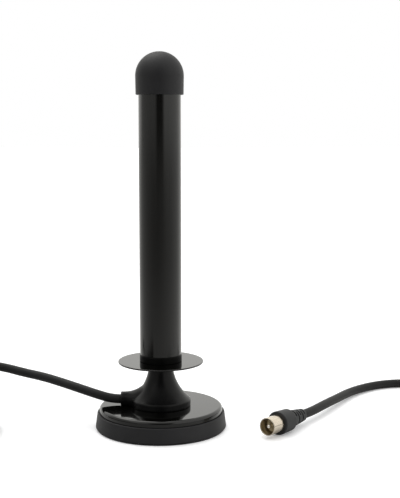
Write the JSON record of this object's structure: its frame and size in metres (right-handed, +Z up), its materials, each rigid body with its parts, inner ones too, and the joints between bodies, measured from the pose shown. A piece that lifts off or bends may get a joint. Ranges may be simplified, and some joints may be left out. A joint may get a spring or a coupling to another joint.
{
  "type": "indoor tv antenna",
  "caption": "Upright tube antenna with a domed cap and a thin disc on a waisted pedestal and round magnetic base, with a coaxial lead ending in an aerial plug.",
  "frame": {"origin": "centre of the base's underside, on the surface that it stands on", "axes": "+Z up along the tube, -X the way the lead leaves the pedestal"},
  "size_m": [0.2982, 0.2134, 0.2016],
  "materials": {
    "boot_rubber": "matte moulded rubber",
    "cover_gloss": "mirror-gloss black enamel",
    "ferrite": "sintered, dark grey",
    "fastener_steel": "zinc plated",
    "pedestal_satin": "satin moulded black",
    "disc_gloss": "mirror-gloss black enamel",
    "collar_black": "satin moulded black",
    "tube_gloss": "gloss black, faint drawing lines",
    "board_laminate": "green lacquered laminate",
    "cap_rubber": "matte moulded rubber",
    "turned_brass": "turned",
    "core_white": "natural white insulation",
    "cable_jacket": "matte extruded black",
    "tie_strap": "woven black strap",
    "plug_overmould": "matte moulded black",
    "plug_nickel": "bright nickel plate",
    "plug_insulation": "brown moulding"
  },
  "bodies": {
    "root": {"rubber_boot": "boot_rubber", "base_cover": "cover_gloss", "ring_magnet": "ferrite", "base_screws": "fastener_steel", "pedestal": "pedestal_satin", "ground_disc": "disc_gloss", "tube_collar": "collar_black", "antenna_tube": "tube_gloss", "antenna_board": "board_laminate", "end_cap": "cap_rubber", "mast_nipple": "turned_brass", "lock_nuts": "turned_brass", "cable_ferrule": "turned_brass", "feed_lead": "core_white", "cable_run_out": "cable_jacket", "cable_run_in": "cable_jacket", "cable_hank": "cable_jacket", "cable_tie": "tie_strap", "plug_body": "plug_overmould", "plug_shell": "plug_nickel", "plug_pin": "plug_nickel", "plug_insulator": "plug_insulation"}
  },
  "joints": []
}
